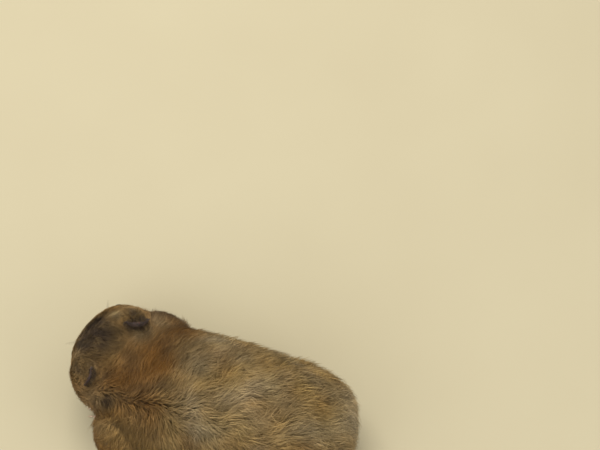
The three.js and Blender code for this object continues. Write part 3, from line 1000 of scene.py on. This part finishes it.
class Shader:
    """One material, whose nodes are all made by node()."""

    def __init__(self, name):
        self.material = bpy.data.materials.new(name)
        self.material.use_nodes = True
        self.tree = self.material.node_tree
        self.surface = self.tree.nodes["Principled BSDF"]

    def node(self, kind, settings=None, values=None, output=0):
        made = self.tree.nodes.new(kind)
        for key, value in (settings or {}).items():
            setattr(made, key, value)
        for socket, value in (values or {}).items():
            self.put(made.inputs[socket], value)
        return Wire(self, made.outputs[output])

    def put(self, socket, value):
        if isinstance(value, Wire):
            self.tree.links.new(value.socket, socket)
        else:
            socket.default_value = value

    def set(self, **values):
        """Sockets of the surface, with _ for each space in their names."""
        for name, value in values.items():
            self.put(self.surface.inputs[name.replace("_", " ")], value)

    def mix(self, share, first, second, blend="MIX"):
        settings = {"data_type": "RGBA", "blend_type": blend}
        return self.node("ShaderNodeMix", settings, {0: share, 6: first, 7: second}, output=2)

    def grey(self, value):
        return self.node("ShaderNodeCombineColor", {}, {0: value, 1: value, 2: value})

    def shade(self, colour, value):
        return self.mix(1.0, colour, self.grey(value), "MULTIPLY")

    def four(self, name):
        """The four numbers of a colour attribute."""
        source = self.tree.nodes.new("ShaderNodeAttribute")
        source.attribute_name = name
        split = self.tree.nodes.new("ShaderNodeSeparateColor")
        self.tree.links.new(source.outputs["Color"], split.inputs[0])
        return [Wire(self, split.outputs[k]) for k in range(3)] + [Wire(self, source.outputs["Alpha"])]

    def noise(self, scale, detail=3, roughness=0.55):
        place = self.node("ShaderNodeTexCoord", output="Object")
        values = {"Vector": place, "Scale": scale, "Detail": detail, "Roughness": roughness}
        return self.node("ShaderNodeTexNoise", {}, values)

    def bump(self, height, strength, distance):
        values = {"Height": height, "Strength": strength, "Distance": distance}
        self.set(Normal=self.node("ShaderNodeBump", {}, values))


def paint(red, green, blue):
    """A linear colour from the usual 0 to 255 values."""
    shares = [value / 255 for value in (red, green, blue)]
    return (*[c / 12.92 if c <= 0.04045 else ((c + 0.055) / 1.055) ** 2.4 for c in shares], 1.0)


GOLD = paint(186, 157, 97)
RUST = paint(130, 90, 36)
ASH = paint(156, 141, 108)
SLATE = paint(66, 54, 43)
UMBER = paint(76, 52, 24)
IVORY = paint(226, 214, 190)
UNDERCOAT = paint(88, 78, 66)
TIP = paint(92, 70, 46)
PINK = paint(214, 158, 144)
EAR_DARK = paint(52, 41, 39)
EAR_RIM = paint(76, 61, 58)


def coat_colour(shader):
    """The coat's colour from the markings and painted shade that the skin and the locks share."""
    rust, ash, dark, pale = shader.four("marks_and_shade")
    colour = shader.mix(rust, GOLD, RUST)
    colour = shader.mix(ash, colour, ASH)
    # Dark fur, and the painted shade that the dark kind also carries.
    colour = shader.mix(dark, colour, shader.mix(rust, SLATE, UMBER))
    return shader.mix(pale, colour, IVORY), pale


def fur_material():
    shader = Shader("fur")
    colour, pale = coat_colour(shader)
    along, tone, family, tick = shader.four("lock")
    roots = 1 - along.between(0.0, 0.45)
    colour = shader.mix(roots * (0.6 - 0.35 * pale), colour, UNDERCOAT)
    ticked = along.between(0.6, 0.95) * tick.between(0.55, 0.7) * (0.45 - 0.45 * pale)
    colour = shader.mix(ticked, colour, TIP)
    shader.set(
        Base_Color=shader.shade(colour, 0.59 + 0.18 * tone + 0.64 * family),
        Roughness=0.5 + 0.2 * tone,
    )
    shader.set(Specular_IOR_Level=0.3)
    return shader.material


def skin_material():
    shader = Shader("skin")
    coat, _ = coat_colour(shader)
    pink, ear, lids_and_nostril_shade, wet = shader.four("bare")
    fine = shader.noise(2600.0)
    broad = shader.noise(420.0)
    coat = shader.shade(coat, 0.58 + 0.34 * fine)
    flesh = shader.mix(broad, PINK, paint(196, 132, 120))
    shell = shader.mix(broad.between(0.35, 0.7), EAR_DARK, EAR_RIM)
    colour = shader.mix(pink, coat, flesh)
    colour = shader.mix(ear, colour, shell)
    # Dark lid skin, and painted shade in the nostrils.
    colour = shader.mix(lids_and_nostril_shade, colour, paint(30, 22, 20))
    shader.set(Base_Color=colour, Roughness=0.72 - 0.4 * wet - 0.12 * pink)
    shader.set(Subsurface_Weight=0.12, Subsurface_Scale=0.0012, Subsurface_Radius=(1.0, 0.4, 0.25))
    creases = shader.noise(1500.0, 5, 0.65)
    shader.bump(creases * 0.6 + fine * 0.4, 0.55, 0.00025)
    return shader.material


def eye_material():
    shader = Shader("eye")
    depths = shader.noise(500.0)
    shader.set(
        Base_Color=shader.mix(depths, paint(12, 9, 8), paint(26, 18, 15)),
        Roughness=0.05 + 0.04 * depths,
    )
    shader.set(Specular_IOR_Level=0.2)
    return shader.material


def claw_material():
    shader = Shader("claw")
    grain = shader.noise(1800.0)
    shader.set(
        Base_Color=shader.mix(grain, paint(226, 205, 182), paint(176, 140, 118)),
        Roughness=0.3 + 0.2 * grain,
    )
    return shader.material


def whisker_material():
    shader = Shader("whisker")
    grain = shader.noise(900.0)
    shader.set(
        Base_Color=shader.mix(grain, paint(70, 58, 48), paint(150, 134, 116)),
        Roughness=0.35 + 0.1 * grain,
    )
    return shader.material


def floor_material():
    shader = Shader("floor")
    cloud = shader.noise(14.0, 2)
    shader.set(Base_Color=shader.mix(cloud, paint(190, 182, 154), paint(184, 175, 147)), Roughness=0.85)
    return shader.material


# ---- the body ----


def bare_skin(points, labels, depth, edges):
    """How pink, ear-like, dark and wet the skin is at each point: dark at the lids' own skin, and with
    painted shade in the nostrils.
    """
    head = on_head(points)
    foot = is_part(labels, "forepaw", "hind_foot", "tail")
    nose = is_part(labels, "nose")
    ear = blurred(is_part(labels, "ear").astype(float), edges, 3)
    pink = blurred((foot | nose).astype(float), edges, 4)
    lips = 0.5 * spot(head, (27, 0, -3.6), (2.4, 3, 0.8))
    lids_and_nostril_shade = soft(eye_distance(points), EYE_RADIUS + 0.75, EYE_RADIUS + 0.35)
    for side in SIDES.values():
        # Painted shade: the nostrils' openings are darkened like the lids.
        lids_and_nostril_shade = np.maximum(lids_and_nostril_shade, 0.9 * nostril(head, head[nose, 0].max(), side))
    return np.clip(np.stack([np.maximum(pink, lips), ear, lids_and_nostril_shade, nose * 1.0], 1), 0, 1)


def build_skin(material):
    points, triangles, labels = skin_shape()
    edges = edges_of(triangles)
    depth = coat_depths(points, labels, edges)
    points = sunk(points, triangles, edges, depth + closing(labels, edges))
    points[:, 2] = np.maximum(points[:, 2], 0)
    points = shape_lids(shape_face(points, triangles, labels))
    ground = Ground(points, triangles, labels, depth, edges)
    skin = mesh_object("skin", points, triangles)
    add_colours(skin, "marks_and_shade", ground.marks_and_shade)
    add_colours(skin, "bare", bare_skin(points, labels, depth, edges))
    add_map(skin, skin_map(points, triangles, labels))
    finish_piece(skin, material)
    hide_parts(*FLESH)
    return ground


def build_eyes(material):
    """Two black eyeballs, each a little fuller at its middle."""
    for side, eye in zip(SIDES.values(), EYES):
        ball = bmesh.new()
        bmesh.ops.create_icosphere(ball, subdivisions=5, radius=EYE_RADIUS)
        points = np.array([point.co[:] for point in ball.verts])
        triangles = np.array([[point.index for point in face.verts] for face in ball.faces])
        ball.free()
        out = eye_way(side)
        fuller = 1 + 0.03 * soft(unit(points) @ out, 0.6, 1)
        piece = mesh_object(eye + "ball", points * fuller[:, None] + middle(eye), triangles)
        finish_piece(piece, material)
        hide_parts(eye)


# ---- claws and whiskers ----


def rod_points(path, radii, sides):
    """Rings of points round a path, closed by a point at each end, and their triangles."""
    ahead = unit(np.gradient(path, axis=0))
    across = unit(np.cross(ahead, np.array([0.31, 0.17, 0.93])))
    up = np.cross(across, ahead)
    turn = np.arange(sides) / sides * 2 * math.pi
    ring = np.cos(turn)[None, :, None] * across[:, None] + np.sin(turn)[None, :, None] * up[:, None]
    rings = path[:, None] + ring * np.asarray(radii)[:, None, None]
    points = np.concatenate([rings.reshape(-1, 3), path[:1], path[-1:]])
    count = len(path)
    first, last = count * sides, count * sides + 1
    triangles = []
    for side in range(sides):
        after = (side + 1) % sides
        triangles.append((first, after, side))
        triangles.append((last, (count - 1) * sides + side, (count - 1) * sides + after))
        for row in range(count - 1):
            here, there = row * sides, (row + 1) * sides
            triangles.append((here + side, here + after, there + after))
            triangles.append((here + side, there + after, there + side))
    return points, np.array(triangles)


def rods_piece(name, rods, sides, material):
    """Many tapered rods, each a (path, radii) pair, as one piece with a strip of the map each."""
    points, triangles, places = [], [], []
    start = 0
    for index, (path, radii) in enumerate(rods):
        rod, faces = rod_points(path, radii, sides)
        along = np.append(np.repeat(np.linspace(0, 1, len(path)), sides), [0, 1])
        around = np.append(np.tile(np.arange(sides) / sides, len(path)), [0.5, 0.5])
        turn = around[faces]
        turn = np.where(turn - turn[:, :1] > 0.6, turn - 1, turn)
        turn = np.where(turn[:, :1] - turn > 0.6, turn + 1, turn)
        strip = np.stack([(index + 0.1 + 0.6 * turn) / len(rods), along[faces]], -1)
        points.append(rod)
        triangles.append(faces + start)
        places.append(strip)
        start += len(rod)
    piece = mesh_object(name, np.concatenate(points), np.concatenate(triangles))
    add_map(piece, np.concatenate(places))
    return finish_piece(piece, material)


def level(heading):
    """Level unit vectors ahead and to the left of a foot that turns to the right by heading."""
    turn = math.radians(heading)
    ahead = np.array([-math.sin(turn), -math.cos(turn), 0])
    return ahead, np.array([math.cos(turn), -math.sin(turn), 0])


def toe_tips(foot):
    """Where each toe of a foot ends, with the way it points."""
    heel, heading, toes, length, width, fan = FEET[foot]
    ahead, left = level(heading)
    reach = length * TOE_SHARE
    sole = length - reach * 0.8
    tips = []
    for place in np.arange(toes) / (toes - 1) - 0.5:
        way = level(heading - place * fan)[0]
        start = np.array([*heel, 0]) + ahead * sole * 0.66 + left * place * width * 0.72
        share = 1 - 0.9 * abs(place) ** 1.6
        tips.append((start + way * ((reach + sole * 0.18) * share + 0.1 * width), way))
    return tips


def build_claws(material):
    """A small curved claw on every toe."""
    for foot in FEET:
        rods = []
        for tip, way in toe_tips(foot):
            steps = np.linspace(0, 1, 6)[:, None]
            root = tip - way * 1.3 + np.array([0, 0, 0.9])
            droop = np.array([0, 0, 0.35]) * steps - np.array([0, 0, 1.1]) * steps**2
            path = root + way * steps * CLAW + droop
            path[:, 2] = np.maximum(path[:, 2], 0.16)
            rods.append((path, 0.36 * (1 - 0.86 * steps[:, 0] ** 1.3)))
        rods_piece(foot + "_claws", rods, 8, material)


def whisker(root, length, side, rise, forward):
    """One whisker from a place on the head, bending back and down along its length."""
    steps = np.linspace(0, 1, 9)[:, None]
    way = unit(np.array([forward, side * 1.0, rise]))
    bend = np.array([-0.32, 0, -0.1])
    path = root - way * 1.2 + (way * steps + bend * steps**2) * length
    path = from_head(path[:, :1], path[:, 1:2], path[:, 2:3])
    path[:, 2] = np.maximum(path[:, 2], 0.3 + 0.2 * steps[:, 0])
    return path, 0.075 * (1 - 0.85 * steps[:, 0])


def build_whiskers(material):
    """Rows of whiskers on each side of the muzzle, and a few above each eye."""
    draw = np.random.default_rng(19)
    for word, side in SIDES.items():
        rods = []
        for row in range(4):
            for column in range(5):
                root = np.array([25.6 - 1.25 * column, side * (3.3 + 0.35 * column), 0.9 - 0.95 * row])
                length = (9 + 1.9 * column) * draw.uniform(0.85, 1.1)
                rise = 0.3 - 0.22 * row + draw.normal(0, 0.05)
                rods.append(whisker(root, length, side, rise, 0.35 - 0.2 * column))
        for brow in range(3):
            root = np.array([EYE_ALONG - 2 + 1.5 * brow, side * 8.2, 8.6])
            rods.append(whisker(root, draw.uniform(7, 9), side, 1.4, -0.4))
        rods_piece("whiskers_" + word, rods, 5, material)


# ---- the room ----

CAMERA_AT = (0.0773, 0.0648, 0.4936)  # these two are in metres
CAMERA_AIM = (-0.0831, 0.0095, 0.0275)
CAMERA_LENS = 72.0
FLOOR_HALF = 3000.0  # from the middle of the floor to its edge


def place_camera():
    lens = bpy.data.cameras.new("camera")
    lens.lens = CAMERA_LENS
    lens.sensor_width = 36.0
    lens.clip_start = 0.005
    camera = bpy.data.objects.new("camera", lens)
    camera.location = CAMERA_AT
    back = Vector(CAMERA_AT) - Vector(CAMERA_AIM)
    camera.rotation_euler = back.to_track_quat("Z", "Y").to_euler()
    bpy.context.scene.collection.objects.link(camera)
    bpy.context.scene.camera = camera


def add_light(name, place, size, power, colour=(1, 1, 1)):
    light = bpy.data.lights.new(name, "AREA")
    light.size = size
    light.energy = power
    light.color = colour
    lamp = bpy.data.objects.new(name, light)
    lamp.location = place
    lamp.rotation_euler = Vector(place).to_track_quat("Z", "Y").to_euler()
    bpy.context.scene.collection.objects.link(lamp)


def light_room():
    world = bpy.data.worlds.new("studio")
    bpy.context.scene.world = world
    world.use_nodes = True
    world.node_tree.nodes["Background"].inputs["Color"].default_value = (1.0, 0.96, 0.88, 1)
    world.node_tree.nodes["Background"].inputs["Strength"].default_value = 0.75
    add_light("key", (-0.35, -0.25, 0.75), 0.5, 4.6, (1.0, 0.95, 0.87))
    add_light("fill", (0.5, -0.35, 0.5), 0.6, 1.2, (0.93, 0.96, 1.0))
    add_light("rim", (0.1, 0.7, 0.45), 0.5, 1.4)
    bpy.context.scene.view_settings.view_transform = "Standard"


def lay_floor():
    corners = np.array([[-1, -1, 0], [1, -1, 0], [1, 1, 0], [-1, 1, 0]]) * FLOOR_HALF
    floor = mesh_object("floor", corners, np.array([[0, 1, 2], [0, 2, 3]]))
    floor.data.materials.append(floor_material())


place_camera()
light_room()
lay_floor()
ground = build_skin(skin_material())
grow_coat(ground, fur_material())
build_eyes(eye_material())
build_claws(claw_material())
build_whiskers(whisker_material())
